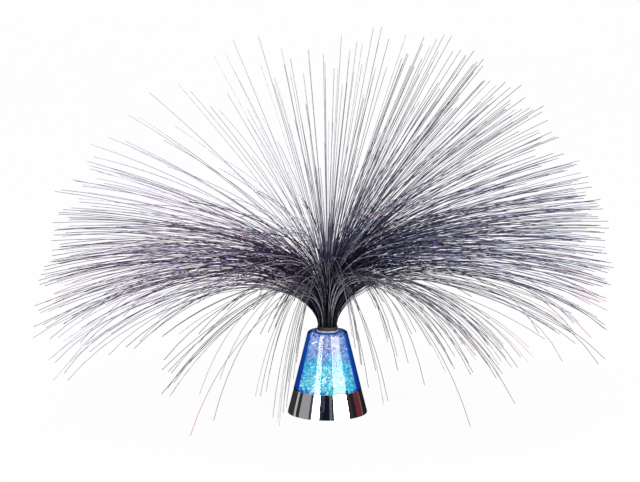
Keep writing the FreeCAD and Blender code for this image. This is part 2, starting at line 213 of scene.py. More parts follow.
# camera, floor and light
studio = {
    "elevation": 9.75,  # degrees above level
    "distance": 2.5,
    "aim": (-0.0065, 0.0, 0.1512),
    "lens": 162.8,
    "fall": 0.172,  # how much lower the camera sees a point for each metre that it is nearer
    "worldLevel": 0.85,
    "floorHalf": 3.0,
    "floorBack": 2.2,
    "floorCurve": 0.6,  # radius of the swept back
    "floorTop": 3.0,
    "floorHole": 0.0325,
    "floorEdges": 72,
    "floorGlow": 0.93,
    "lamps": (  # name, place, size and power
        ("keyLamp", (-0.9, -1.6, 1.5), 1.2, 9.0),
        ("fillLamp", (1.3, -1.2, 1.1), 1.2, 6.0),
    ),
}

# cards round the lamp that only gloss sees. Each one fills the part of the skirt from the first
# to the second angle, in degrees from the front, + to the right; then colour and strength.
cards = [
    (-90, -58.5, (0.035, 0.035, 0.034), 1.0),
    (-58.5, -53, (0.47, 0.47, 0.47), 1.0),
    (-53, -45.5, (0.030, 0.030, 0.030), 1.0),
    (-45.5, -27.8, (0.33, 0.335, 0.345), 1.0),
    (-27.8, -24.3, (0.04, 0.05, 0.05), 1.0),
    (-24.3, -22.5, (0.66, 0.66, 0.64), 1.0),
    (-22.5, -12.2, (1.0, 0.97, 1.0), 15.0),
    (-12.2, -7.5, (0.030, 0.040, 0.048), 1.0),
    (-7.5, 3, (0.006, 0.010, 0.024), 1.0),
    (3, 7, (0.14, 0.145, 0.155), 1.0),
    (7, 9.8, (0.014, 0.020, 0.028), 1.0),
    (9.8, 32.8, (1.0, 0.97, 1.0), 13.0),
    (32.8, 40, (0.045, 0.030, 0.030), 1.0),
    (40, 47.5, (0.018, 0.016, 0.018), 1.0),
    (47.5, 61, (0.15, 0.030, 0.042), 1.0),
    (61, 64.5, (0.19, 0.11, 0.12), 1.0),
    (64.5, 90, (0.016, 0.014, 0.014), 1.0),
]
# what the cone's flat top mirrors: how far behind, half width, from and to height, colour
topCard = {
    "behind": 0.3,
    "half": 0.07,
    "from": 0.085,
    "to": 0.19,
    "colour": (0.002, 0.02, 0.16),
}
cardSet = {
    "near": 0.0354,  # radius at which they start, just off the skirt's foot
    "reach": 1.1,
    "low": 0.0004,
    "top": 0.62,
    "step": 1.5,  # degrees of the skirt to one strip
    "slope": 14.7,  # of the skirt's side, in degrees
    "sideways": 70,  # a card past this sum of its two angles goes on over the table
}


def cardLine(angle):
    # where the skirt's mirror sends the view at this angle: a point at its foot, and a direction
    degrees = (angle, cardSet["slope"], studio["elevation"])
    turn, slope, tilt = (math.radians(v) for v in degrees)
    flat = math.cos(slope)
    normal = Vector((flat * math.sin(turn), -flat * math.cos(turn), math.sin(slope)))
    view = Vector((0, math.cos(tilt), -math.sin(tilt)))
    sent = view - 2 * view.dot(normal) * normal
    foot = cardSet["near"] * Vector((math.sin(turn), -math.cos(turn), 0))
    return foot, Vector((sent.x, sent.y, 0)).normalized()


def addCard(name, verts, faces, colour, strength):
    # seen in gloss only
    material = bpy.data.materials.new(name)
    material.use_nodes = True
    tree = material.node_tree
    tree.nodes.clear()
    out = addNode(tree, "ShaderNodeOutputMaterial")
    lit = addNode(tree, "ShaderNodeEmission", {"Color": (*colour, 1), "Strength": strength})
    tree.links.new(lit.outputs[0], out.inputs["Surface"])
    card = newPiece(name, verts, faces, material)
    card.visible_camera = False
    card.visible_diffuse = False
    card.visible_transmission = False
    card.visible_shadow = False
    card.visible_volume_scatter = False


def buildWorld(scene):
    world = bpy.data.worlds.new("softWhite")
    world.use_nodes = True
    scene.world = world
    tree = world.node_tree
    background = tree.nodes["Background"]
    background.inputs["Color"].default_value = (1, 1, 1, 1)
    background.inputs["Strength"].default_value = studio["worldLevel"]
    seen = addNode(tree, "ShaderNodeBackground", {"Color": (1, 1, 1, 1), "Strength": 1.0})
    mix = mixShaders(tree, directView(tree), background, seen)
    tree.links.new(mix.outputs[0], tree.nodes["World Output"].inputs["Surface"])


def floorMesh():
    # a flat floor with a round hole under the lamp, and a swept back
    half, back, curve = studio["floorHalf"], studio["floorBack"], studio["floorCurve"]
    steps, edges = 12, studio["floorEdges"]
    profile = [(back, 0.0)]
    for k in range(1, steps + 1):
        angle = math.radians(90 * k / steps)
        profile.append((back + curve * math.sin(angle), curve - curve * math.cos(angle)))
    profile.append((back + curve, studio["floorTop"]))
    verts = [(side * half, y, z) for y, z in profile for side in (-1, 1)]
    faces = [(2 * i, 2 * i + 1, 2 * i + 3, 2 * i + 2) for i in range(len(profile) - 1)]
    base, hole = len(verts), studio["floorHole"]
    for k in range(edges):
        angle = 2 * math.pi * k / edges
        x, y = math.cos(angle), math.sin(angle)
        edge = min(half / max(abs(x), 1e-6), (back if y > 0 else half) / max(abs(y), 1e-6))
        verts += [(x * hole, y * hole, 0.0), (x * edge, y * edge, 0.0)]
        a, b = base + 2 * k, base + 2 * ((k + 1) % edges)
        faces.append((a, a + 1, b + 1, b))
    return verts, faces


def buildFloor():
    # seen from its upper side only, so that the lamp shows from behind and from below
    material, tree, shader = newMaterial("paperWhite")
    grain = noiseNode(tree, 60.0)
    white = ramp(tree, grain.outputs["Fac"], [(0.3, grey(0.95)), (0.7, grey(0.97))])
    tree.links.new(white, shader.inputs["Base Color"])
    shader.inputs["Roughness"].default_value = 0.9
    shader.inputs["Specular IOR Level"].default_value = 0.0
    glow = addNode(tree, "ShaderNodeEmission", {"Color": (1, 1, 1, 1), "Strength": 1.0})
    share = addNode(tree, "ShaderNodeMath", {1: studio["floorGlow"]}, operation="MULTIPLY")
    tree.links.new(directView(tree), share.inputs[0])
    paper = mixShaders(tree, share.outputs[0], shader, glow)
    facing = addNode(tree, "ShaderNodeNewGeometry")
    clear = addNode(tree, "ShaderNodeBsdfTransparent")
    oneSided = mixShaders(tree, facing.outputs["Backfacing"], paper, clear)
    tree.links.new(oneSided.outputs[0], tree.nodes["Material Output"].inputs["Surface"])
    newPiece("sweep", *floorMesh(), material)


def buildCards():
    low, top = Vector((0, 0, cardSet["low"])), Vector((0, 0, cardSet["top"]))
    for index, (start, end, colour, strength) in enumerate(cards):
        steps = max(1, round((end - start) / cardSet["step"]))
        verts = []
        for k in range(steps + 1):
            foot, away = cardLine(start + (end - start) * k / steps)
            far = foot + away * cardSet["reach"]
            verts += [foot + low, far + low, far + top]
        level = 0 if abs(start + end) > cardSet["sideways"] else 1
        faces = []
        for k in range(steps):
            for i in range(level, 2):
                a = 3 * k + i
                faces.append((a, a + 1, a + 4, a + 3))
        addCard("card%02d" % index, verts, faces, colour, strength)
    half, behind = topCard["half"], topCard["behind"]
    corners = [(-half, "from"), (half, "from"), (half, "to"), (-half, "to")]
    verts = [(x, behind, topCard[edge]) for x, edge in corners]
    addCard("cardTop", verts, [(0, 1, 2, 3)], topCard["colour"], 1.0)


def placeCamera(scene):
    camera = bpy.data.cameras.new("camera")
    camera.lens = studio["lens"]
    camera.sensor_width = 36.0
    camera.clip_end = 50.0
    seat = bpy.data.objects.new("camera", camera)
    scene.collection.objects.link(seat)
    tilt = math.radians(studio["elevation"])
    back = Vector((0, -math.cos(tilt), math.sin(tilt)))
    seat.location = Vector(studio["aim"]) + back * studio["distance"]
    seat.rotation_euler = (math.pi / 2 - tilt, 0, 0)
    scene.camera = seat


def placeLamps(scene):
    for name, place, size, power in studio["lamps"]:
        lamp = bpy.data.lights.new(name, "AREA")
        lamp.size = size
        lamp.energy = power
        stand = bpy.data.objects.new(name, lamp)
        scene.collection.objects.link(stand)
        stand.location = place
        towards = Vector(studio["aim"]) - Vector(place)
        stand.rotation_euler = towards.to_track_quat("-Z", "Y").to_euler()


def buildStudio():
    scene = bpy.context.scene
    scene.view_settings.view_transform = "Standard"
    buildWorld(scene)
    buildFloor()
    buildCards()
    placeCamera(scene)
    placeLamps(scene)


buildStudio()
print("studio ready")

# chromed skirt
skirt = {
    "footRadius": 0.035,
    "height": 0.0213,
    "topRadius": 0.0294,
    "wall": 0.0018,
    "lip": 0.00015,  # rounding of its outer edges
}


def buildSkirt():
    chrome = metal("chromePlate", (0.93, 0.935, 0.95), (0.012, 0.03), 900.0, None, 0.006)
    foot, top, height = skirt["footRadius"], skirt["topRadius"], skirt["height"]
    wall, lip = skirt["wall"], skirt["lip"]
    corners = [
        (foot - wall, 0.0, lip * 0.6),
        (foot, 0.0, lip),
        (top, height, lip),
        (top - wall, height, lip * 0.6),
    ]
    shell = turnedPiece("chromeShell", corners, chrome, segments=256)
    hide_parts("chrome_skirt")
    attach(shell, "base")


buildSkirt()
print("skirt done")

# clear cone
dome = {
    "plugRadius": 0.02745,
    "foot": 0.01795,
    "coneFoot": 0.0213,
    "footRadius": 0.0296,
    "topRadius": 0.0170,
    "top": 0.0725,
    "wall": 0.0033,
    "plugWall": 0.0014,
    "ceiling": 0.0709,
    "shoulder": 0.0030,
    "seatRadius": 0.0096,
    "seatFloor": 0.0684,
    "boreRadius": 0.0090,
    "tubeRadius": 0.0109,
    "absorbs": (640.0, 290.0, 95.0),  # per metre of red, green and blue
    "slant": 1.05,  # how much longer than the wall the way of light through it is
}


def coneRadius(z):
    share = (z - dome["coneFoot"]) / (dome["top"] - dome["coneFoot"])
    return dome["footRadius"] + (dome["topRadius"] - dome["footRadius"]) * share


def cavityRadius(z):
    low = min(coneRadius(dome["foot"]) - dome["wall"], dome["plugRadius"] - dome["plugWall"])
    high = coneRadius(dome["ceiling"]) - dome["wall"]
    return low + (high - low) * (z - dome["foot"]) / (dome["ceiling"] - dome["foot"])


def buildDome():
    material, tree, shader = newMaterial("clearBlue")
    grain = noiseNode(tree, 160.0, 3.0)
    stops = [(0.3, (0.93, 0.96, 1.0)), (0.7, (0.96, 0.98, 1.0))]
    grained(tree, shader, grain, stops, (0.0, 0.012))
    shader.inputs["Transmission Weight"].default_value = 1.0
    shader.inputs["IOR"].default_value = 1.49
    most = max(dome["absorbs"])
    tint = tuple(1 - value / most for value in dome["absorbs"])
    values = {"Color": (*tint, 1), "Density": most}
    volume = addNode(tree, "ShaderNodeVolumeAbsorption", values)
    tree.links.new(volume.outputs[0], tree.nodes["Material Output"].inputs["Volume"])
    foot, ceiling, floor = dome["foot"], dome["ceiling"], dome["seatFloor"]
    corners = [
        (dome["plugRadius"], foot, 0.0003),
        (dome["plugRadius"], dome["coneFoot"], 0),
        (dome["footRadius"], dome["coneFoot"], 0.0004),
        (dome["topRadius"], dome["top"], dome["shoulder"]),
        (dome["seatRadius"], dome["top"], 0.0003),
        (dome["seatRadius"], floor, 0),
        (dome["boreRadius"], floor, 0.0001),
        (dome["boreRadius"], foot, 0),
        (dome["tubeRadius"], foot, 0),
        (dome["tubeRadius"], ceiling, 0.0006),
        (cavityRadius(ceiling), ceiling, 0.0012),
        (cavityRadius(foot), foot, 0),
    ]
    cone = turnedPiece("clearCone", corners, material, segments=256, steps=8)
    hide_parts("clear_dome")
    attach(cone, "base")


buildDome()
print("cone done")

# crumpled film
film = {
    "seed": 5,
    "bottom": 0.0196,
    "top": 0.0705,
    "inner": 0.0113,
    "wallGap": 0.00015,
    "flakes": 2400,
    "ribbons": 150,  # larger curled pieces, mostly low down
    "ribbonSize": (0.0035, 0.0075),
    "flakeSize": (0.0012, 0.0030),
    "patch": 0.0065,  # size of the patches of one colour
    "drift": 0.34,  # how far up or down such a patch shifts the palette, as a share of the height
    "blur": 0.06,
    "depth": 0.75,  # share of the room behind the wall that the chips take
    "widths": (0.3, 0.7),  # share of their length
    "curl": 0.5,
    "shades": (0.45, 1.35),
    "clump": (0.92, 0.97, 1.0),  # white chips, most of them low down and among the ribbons
    "clumpShares": (0.10, 0.45),
    "clumpShades": (0.9, 1.3),
    # painted shade: dark royal blue for the chips under the cone's top and for the flat ring
    # there
    "underTopShade": (0.0, 0.06, 0.42),
    "underTopFrom": 0.965,
    "underTopRadius": 0.0132,
    "foot": (0.0, 0.22, 0.50),
    "footUpTo": 0.04,
    "lidShade": (0.0, 0.05, 0.30),
    "rows": 30,
    "columns": 72,
    # painted light: strength of the glow that stands in for the LEDs' light on the film
    "glow": 1.12,
    "albedo": 0.25,
}
# height share, then colours that the chips show there through the wall, in linear light
# painted light: the film glows these colours, brighter cyan and white low down near the LEDs,
# dimmer lilac higher up
filmGlowByHeight = (
    (0.00, (
        (0.04, 0.76, 0.76), (0.01, 0.52, 0.50), (0.74, 0.94, 0.93), (0.20, 0.82, 0.80),
        (0.90, 0.96, 0.97),
    )),
    (0.26, (
        (0.03, 0.70, 0.78), (0.01, 0.52, 0.64), (0.40, 0.88, 0.90), (0.05, 0.72, 0.84),
        (0.24, 0.62, 0.80),
    )),
    (0.50, (
        (0.13, 0.48, 0.70), (0.32, 0.46, 0.72), (0.08, 0.42, 0.66), (0.42, 0.54, 0.80),
        (0.20, 0.30, 0.58),
    )),
    (0.68, (
        (0.46, 0.52, 0.78), (0.34, 0.39, 0.68), (0.55, 0.60, 0.84), (0.16, 0.36, 0.64),
        (0.16, 0.19, 0.40),
    )),
)


def filmColour(rnd, share, point):
    # patches of neighbouring chips lean the same way
    drift, blur = film["drift"] * noise.noise(Vector(point) / film["patch"]), film["blur"]
    colours = filmGlowByHeight[0][1]
    for start, row in filmGlowByHeight:
        if share + drift + rnd.uniform(-blur, blur) >= start:
            colours = row
    return rnd.choice(colours)


def throughWall(colour):
    # painted glow that has to be sent out so that the colour is left after the wall's own tint
    wall, slant = dome["wall"], dome["slant"]
    return tuple(c * math.exp(k * wall * slant) for c, k in zip(colour, dome["absorbs"]))


def filmMaterial():
    material, tree, shader = newMaterial("filmWithPaintedGlow")
    tone = addNode(tree, "ShaderNodeAttribute", attribute_name="tone")
    sent = addNode(tree, "ShaderNodeAttribute", attribute_name="sent")
    tree.links.new(tone.outputs["Color"], shader.inputs["Base Color"])
    # painted light: the film glows in place of the LEDs' light falling on it
    tree.links.new(sent.outputs["Color"], shader.inputs["Emission Color"])
    shader.inputs["Emission Strength"].default_value = film["glow"]
    shader.inputs["Roughness"].default_value = 0.22
    grain = noiseNode(tree, 700.0, 3.0)
    bump(tree, shader, grain.outputs["Fac"], 0.5, 0.0003)
    return material


def paintFilm(piece, colours):
    tones = [tuple(film["albedo"] * part for part in colour) for colour in colours]
    paint(piece, "tone", "FACE", tones)
    # painted glow, as it has to leave the film to be seen through the wall
    paint(piece, "sent", "FACE", [throughWall(colour) for colour in colours])
    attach(piece, "base")


def addChip(rnd, share, long, wide, verts):
    # a curled strip of four cross-lines, kept inside the clear cone
    z = film["bottom"] + (film["top"] - film["bottom"]) * share
    outer = cavityRadius(z) - film["wallGap"]
    radius = outer - (outer - film["inner"]) * film["depth"] * rnd.random() ** 2
    angle = rnd.uniform(0, 2 * math.pi)
    centre = Vector((radius * math.cos(angle), radius * math.sin(angle), z))
    axis = Vector((rnd.gauss(0, 1), rnd.gauss(0, 1), rnd.gauss(0, 1))).normalized()
    turn = Matrix.Rotation(rnd.uniform(0, 2 * math.pi), 3, axis)
    curl = rnd.uniform(-film["curl"], film["curl"]) * long
    for i in range(4):
        t = i / 3 - 0.5
        for side in (-0.5, 0.5):
            bent = Vector((t * long, side * wide * (1 - 0.5 * abs(t)), curl * (4 * t * t - 0.5)))
            point = centre + turn @ bent
            flat = math.hypot(point.x, point.y)
            high = min(max(point.z, film["bottom"]), film["top"])
            fixed = min(max(flat, film["inner"]), cavityRadius(high) - film["wallGap"])
            verts.append((point.x * fixed / flat, point.y * fixed / flat, high))
    return centre


def flakeColour(rnd, share, centre, large):
    colour = filmColour(rnd, share, centre)
    level = rnd.uniform(*film["shades"])
    if rnd.random() < film["clumpShares"][large] * (1.1 - share):
        colour, level = film["clump"], rnd.uniform(*film["clumpShades"])
    outside = math.hypot(centre.x, centre.y) > film["underTopRadius"]
    # painted shade: chips under the top, out past the tube, are dark royal blue; the lowest chips
    # glow a darker blue along the foot
    if share > film["underTopFrom"] and outside:
        colour = film["underTopShade"]
    if share < film["footUpTo"]:
        colour = film["foot"]
    return colour, level


def buildFlakes(rnd, material):
    verts, faces, colours = [], [], []
    for k in range(film["flakes"] + film["ribbons"]):
        large = k >= film["flakes"]
        share = rnd.random() ** (2.2 if large else 1.1)
        size = film["ribbonSize"] if large else film["flakeSize"]
        long = rnd.uniform(*size) * (1.25 - 0.4 * share)
        base = len(verts)
        centre = addChip(rnd, share, long, long * rnd.uniform(*film["widths"]), verts)
        colour, level = flakeColour(rnd, share, centre, large)
        for i in range(3):
            a = base + 2 * i
            faces.append((a, a + 1, a + 3, a + 2))
            shade = level * rnd.uniform(0.8, 1.2)
            colours.append(tuple(c * shade for c in colour))
    flakes = newPiece("filmFlakes", verts, faces, material, smooth=False)
    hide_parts("iridescent_film")
    paintFilm(flakes, colours)


def addShadeRing(rnd, verts, faces, colours):
    # flat ring of painted shade under the cone's top, dark royal blue
    base, columns, top = len(verts), film["columns"], film["top"]
    for radius in (film["inner"], cavityRadius(top) - film["wallGap"]):
        for j in range(columns):
            angle = 2 * math.pi * j / columns
            verts.append((radius * math.cos(angle), radius * math.sin(angle), top))
    for j in range(columns):
        a, b = base + j, base + (j + 1) % columns
        faces.append((a, b, b + columns, a + columns))
        shade = rnd.uniform(0.8, 1.2)
        colours.append(tuple(c * shade for c in film["lidShade"]))


def buildLiner(rnd, material):
    # crumpled sheet behind the flakes, round the tube
    rows, columns, inner = film["rows"], film["columns"], film["inner"]
    bottom, top = film["bottom"], film["top"]
    height = top - bottom
    verts, faces, colours = [], [], []
    for i in range(rows + 1):
        z = bottom + height * i / rows
        for j in range(columns):
            angle = 2 * math.pi * (j + 0.5 * (i % 2) + rnd.uniform(-0.25, 0.25)) / columns
            outer = cavityRadius(z) - film["wallGap"]
            reach = inner + (outer - inner) * rnd.uniform(0.45, 0.92)
            high = min(max(z + rnd.uniform(-0.4, 0.4) * height / rows, bottom), top)
            reach = min(reach, cavityRadius(high) - film["wallGap"])
            verts.append((reach * math.cos(angle), reach * math.sin(angle), high))
    for i in range(rows):
        for j in range(columns):
            a, b = i * columns + j, i * columns + (j + 1) % columns
            c, d = a + columns, b + columns
            for triangle in [(a, b, c), (b, d, c)] if i % 2 == 0 else [(a, d, c), (a, b, d)]:
                faces.append(triangle)
                colour = filmColour(rnd, i / rows, verts[a])
                level = rnd.uniform(0.55, 0.95)
                colours.append(tuple(c * level for c in colour))
    addShadeRing(rnd, verts, faces, colours)
    liner = newPiece("filmLiner", verts, faces, material, smooth=False)
    paintFilm(liner, colours)


def buildFilm():
    rnd = random.Random(film["seed"])
    material = filmMaterial()
    buildFlakes(rnd, material)
    buildLiner(rnd, material)


buildFilm()
print("film done")

# ring, ferrule and potted bundle
collar = {
    "ringOuter": 0.0095,
    "ringInner": 0.00895,
    "ringBottom": 0.0685,
    "ringTop": 0.0732,
    "ferruleOuter": 0.00885,
    "ferruleInner": 0.00835,
    "ferruleBottom": 0.01795,
    "ferruleTop": 0.0765,
}


def buildCollar():
    white = moulded(
        "whiteGloss", (0.86, 0.87, 0.90), (0.92, 0.93, 0.95), (0.16, 0.26), 500.0, 0.02
    )
    outer, inner = collar["ringOuter"], collar["ringInner"]
    low, high = collar["ringBottom"], collar["ringTop"]
    corners = [
        (inner, low, 0.0001),
        (outer, low, 0.0001),
        (outer, high, 0.00025),
        (inner, high, 0.00025),
    ]
    ring = turnedPiece("whiteRing", corners, white, segments=128)
    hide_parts("turning_ring")
    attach(ring, "collar")
    dark = moulded(
        "darkSleeve", (0.006, 0.005, 0.004), (0.018, 0.014, 0.011), (0.6, 0.8), 1800.0, 0.25
    )
    outer, inner = collar["ferruleOuter"], collar["ferruleInner"]
    low, high = collar["ferruleBottom"], collar["ferruleTop"]
    corners = [
        (inner, low, 0),
        (outer, low, 0.0001),
        (outer, high, 0.0002),
        (inner, high, 0.0001),
    ]
    sleeve = turnedPiece("darkFerrule", corners, dark, segments=128)
    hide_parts("ferrule")
    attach(sleeve, "spray")


buildCollar()
print("collar done")

# spray of light guides
spray = {
    "seed": 11,
    "strandRadius": 0.00025,
    "sides": 5,
    "length": 0.264,
    "rootRadius": 0.0081,
    "rootHeight": 0.0764,
    "bends": 20,
    "locks": 550,
    "lockMost": 2,
    "lockTurn": 0.7,
    "bendRun": 1.5,  # bends crowd towards the root by this power
    "fine": 3,  # steps between two bends
    "lockAlong": 1.6,  # a lock is this much wider from front to back
    "lengthSpread": 0.011,
    "sideLonger": 0.02,
    "frontShorter": 0.10,
    "shortShare": 0.10,
    "shortLeast": 0.5,
    "shortMost": 0.95,
    "leanSpread": 0.4,
    "sagSpread": 0.08,
    "mostForward": 76.0,
    "frontRise": 0.1,
    # past this lean a strand on the right leans less, sags more and bends later
    "rightLean": {"from": 85.0, "sag": 1.6, "kept": 0.3},
    "centre": 0.0369,  # of the flare, above the roots
    "seenAt": 0.121,  # distance from there at which the directions below hold
    "tiers": (14, 23, 35, 48, 60, 68, 74, 78, 81.5, 84.5, 87.5, 90),  # lean of each tier
    "outer": {"sag": 0.15, "rim": 8},  # what puts a root further out, besides lean
    "reach": {"left": 0.2515, "right": 0.2445, "front": 0.2280, "back": 0.2295, "up": 0.3385},
    # strands nearer than this, and seen below this height, keep off the cone by a margin
    "keepOff": {"front": 0.03, "below": 0.079, "margin": 0.001},
    "turnStep": 0.02,
    "cutStep": 0.985,
}
# how thickly the strands lie in each direction seen from the front: degrees from upright
seenShare = (
    (-106, 0), (-99, 3), (-93, 12), (-86, 48), (-78, 66), (-70, 64), (-62, 42), (-52, 25),
    (-44, 15), (-34, 11), (-26, 16), (-12, 22), (4, 25), (14, 28), (24, 42), (36, 44),
    (50, 42), (62, 58), (70, 74), (78, 62), (86, 16), (94, 3), (102, 1), (110, 0),
)
# how far they spread towards the front and back there
forwardSpread = (
    (-100, 16), (-84, 28), (-70, 38), (-56, 48), (-34, 60), (0, 60), (24, 50), (44, 42),
    (60, 33), (72, 23), (84, 18), (100, 12),
)
# how pale the strands are there, from 0 to 1
paleness = (
    (-104, 0.8), (-96, 0.6), (-90, 0.3), (-84, 0.05), (-72, 0.05), (-62, 0.4), (-50, 0.9),
    (-30, 0.8), (-10, 0.75), (8, 0.45), (30, 0.1), (50, 0.05), (75, 0.1), (95, 0.2),
)
# how a strand bends, by its lean: the sag added at its tip, the height over which it takes up
# its lean, and how sudden that bend is (1 is a bend that starts at the ferrule)
sagByLean = ((0, 0), (20, 1), (40, 4), (60, 12), (75, 14), (85, 22), (92, 42))
neckByLean = (
    (0, 0.054), (20, 0.054), (40, 0.062), (60, 0.070), (75, 0.067), (85, 0.060), (92, 0.034),
)
kneeByLean = ((0, 1.5), (20, 1.3), (40, 1.4), (60, 1.45), (75, 1.8), (85, 2.1), (92, 0.9))
# strands of the bundle's rim bend at once: their sag, and their share in each direction
rimSagByLean = ((0, 0), (60, 12), (80, 20), (88, 26), (94, 46))
rimBend = {
    "neck": 0.037,
    "knee": 1.0,
    "near": 24,  # full share this many degrees to the front and back, less beyond
    "beyond": 0.15,
    "share": ((0, 0), (45, 0.1), (70, 0.35), (84, 0.5), (92, 0.75)),
}
# locks that hang over the front: direction (front is -90), lean, sag, neck, length, strands
hangingLocks = (
    (-120, 95, 30, 0.045, 0.277, 5),
    (-118, 95, 51, 0.036, 0.279, 1),
    (-101, 88, 51, 0.054, 0.279, 4),
    (-100, 92, 60, 0.058, 0.292, 3),
    (-98, 86, 44, 0.052, 0.250, 3),
    (-95, 90, 50, 0.048, 0.266, 2),
    (-104, 90, 53, 0.049, 0.277, 2),
    (-115, 87, 56, 0.045, 0.272, 3),
    (-123, 87, 19, 0.044, 0.268, 3),
    (-121, 97, 18, 0.047, 0.274, 4),
    (-80, 91, 37, 0.049, 0.275, 3),
    (-79, 94, 43, 0.055, 0.286, 1),
    (-85, 80, 47, 0.048, 0.271, 5),
    (-72, 81, 64, 0.052, 0.280, 1),
    (-80, 73, 51, 0.048, 0.274, 2),
    (-76, 75, 56, 0.049, 0.274, 3),
    (-74, 78, 38, 0.048, 0.270, 4),
    (-67, 90, 38, 0.056, 0.278, 1),
    (-60, 100, 46, 0.063, 0.300, 1),
    (-53, 97, 40, 0.060, 0.292, 1),
    (-53, 83, 42, 0.049, 0.271, 6),
    (-62, 81, 45, 0.046, 0.269, 4),
    (-61, 83, 40, 0.048, 0.270, 3),
    (-66, 83, 36, 0.049, 0.270, 4),
    (-57, 86, 36, 0.047, 0.270, 4),
    (-58, 81, 37, 0.045, 0.268, 3),
)
# more of them, spread evenly, at the back and on the right: how many locks, strands in one at
# most, first and last direction, least and most lean, least and most sag, length
evenLocks = (
    (12, 5, (40, 140), (78, 88), (18, 30), 0.262),
    (9, 3, (-36, 8), (90, 95), (20, 36), 0.245),
    (10, 3, (-54, -18), (92, 98), (34, 50), 0.220),
)
hanging = {
    "knee": 1.4,
    "evenNeck": 0.048,
    "pale": 0.35,
    "turn": 1.8,  # spread in degrees
    "lean": 1.5,
    "sag": 0.06,
    "shorter": 0.14,
    "single": 0.4,  # share of that spread for a strand on its own
    "loneBefore": -90,  # a strand on its own, left of this direction, is dark with a red end
}


def between(x, table):
    if x <= table[0][0]:
        return table[0][1]
    for (x0, y0), (x1, y1) in zip(table, table[1:]):
        if x <= x1:
            return y0 + (y1 - y0) * (x - x0) / (x1 - x0)
    return table[-1][1]


def belowWhich(table, share):
    # the place in the table that has this share of its weight before it
    runs = [(x1 - x0) * (y0 + y1) / 2 for (x0, y0), (x1, y1) in zip(table, table[1:])]
    left = share * sum(runs)
    for (x0, y0), (x1, y1), run in zip(table, table[1:], runs):
        if left <= run:
            slope = (y1 - y0) / (x1 - x0)
            if abs(slope) < 1e-9:
                return x0 + left / y0
            return x0 + (math.sqrt(max(0.0, y0 * y0 + 2 * slope * left)) - y0) / slope
        left -= run
    return table[-1][0]


def bell(share):
    # deviation, in a normal spread, that this share stays below
    share = min(max(share, 1e-4), 1 - 1e-4)
    return 4.91 * (share ** 0.14 - (1 - share) ** 0.14)


def strandAngle(travelled, lean, sag, length, neck, knee):
    taken = 1 - math.exp(-((travelled / neck) ** knee))
    return math.radians(lean * taken + sag * (travelled / length) ** 2)


def bendOf(lean, rim):
    # rim is 0 for a strand of the bundle's middle and 1 for one of its rim
    middle = (between(lean, sagByLean), between(lean, neckByLean), between(lean, kneeByLean))
    outside = (between(lean, rimSagByLean), rimBend["neck"], rimBend["knee"])
    return tuple(a + (b - a) * rim for a, b in zip(middle, outside))


def chordAngle(lean, rim):
    # direction of a point well along a strand of this lean, seen from the middle of the flare
    r, z, travelled, step = 0.0065 * lean / 92, 0.0, 0.0, 0.003
    sag, neck, knee = bendOf(lean, rim)
    centre, length = spray["centre"], spray["length"]
    while math.hypot(r, z - centre) < spray["seenAt"] and travelled < length:
        travelled += step
        angle = strandAngle(travelled, lean, sag, length, neck, knee)
        r += step * math.sin(angle)
        z += step * math.cos(angle)
    return math.degrees(math.atan2(r, z - centre))


def leanTable(rim):
    rows = []
    for lean in range(0, 97, 2):
        chord = chordAngle(lean, rim)
        if not rows or chord > rows[-1][0]:
            rows.append((chord, lean))
    return rows


def lockDirection(rnd, k):
    # degrees to the side and to the front or back of upright
    side = belowWhich(seenShare, (k + rnd.random()) / spray["locks"])
    forward = between(side, forwardSpread) * bell((k * 0.618034 + 0.3) % 1.0)
    most = spray["mostForward"]
    return side, max(-most, min(most, forward))


def plannedStrand(rnd, side, forward, leans):
    across = math.radians(side + rnd.gauss(0, spray["lockTurn"]))
    along = math.radians(forward + rnd.gauss(0, spray["lockTurn"] * spray["lockAlong"]))
    x, y = math.sin(across) * math.cos(along), math.sin(along)
    z = math.cos(across) * math.cos(along) - spray["frontRise"] * y
    x, y, z = Vector((x, y, z)).normalized()
    level = 1.0 if abs(forward) < rimBend["near"] else rimBend["beyond"]
    rim = min(1.0, between(abs(side), rimBend["share"]) * level * 2 * rnd.random())
    chord = math.degrees(math.acos(z))
    lean = between(chord, leans[0]) * (1 - rim) + between(chord, leans[1]) * rim
    lean += rnd.gauss(0, spray["leanSpread"])
    turn = math.atan2(y, x)
    length = spray["length"] * (1 - spray["frontShorter"] * math.sin(turn) ** 2)
    length *= 1 + spray["sideLonger"] * lean / 90
    length += rnd.uniform(-1, 1) * spray["lengthSpread"]
    if rnd.random() < spray["shortShare"]:
        length *= rnd.uniform(spray["shortLeast"], spray["shortMost"])
    sag, neck, knee = bendOf(lean, rim)
    sag *= 1 + rnd.gauss(0, spray["sagSpread"])
    limit = spray["rightLean"]
    if side > 0 and lean > limit["from"]:
        sag += limit["sag"] * (lean - limit["from"])
        lean = (1 - limit["kept"]) * limit["from"] + limit["kept"] * lean
        neck = max(neck, rimBend["neck"])
    return {
        "turn": turn,
        "lean": lean,
        "sag": sag,
        "length": length,
        "pale": between(side, paleness),
        "neck": neck,
        "knee": knee,
        "rim": rim,
    }


def hangingStrand(rnd, turn, lean, sag, neck, length, count):
    loose = hanging["single"] if count == 1 else 1.0
    return {
        "turn": math.radians(turn + rnd.gauss(0, hanging["turn"] * loose)),
        "lean": lean + rnd.gauss(0, hanging["lean"] * loose),
        "sag": sag * (1 + rnd.gauss(0, hanging["sag"] * loose)),
        "length": length * (1 - hanging["shorter"] * rnd.random() ** 2 * loose),
        "pale": hanging["pale"],
        "lone": count == 1 and turn < hanging["loneBefore"],
        "neck": neck,
        "knee": hanging["knee"],
        "rim": 1,
        "hangs": True,
    }


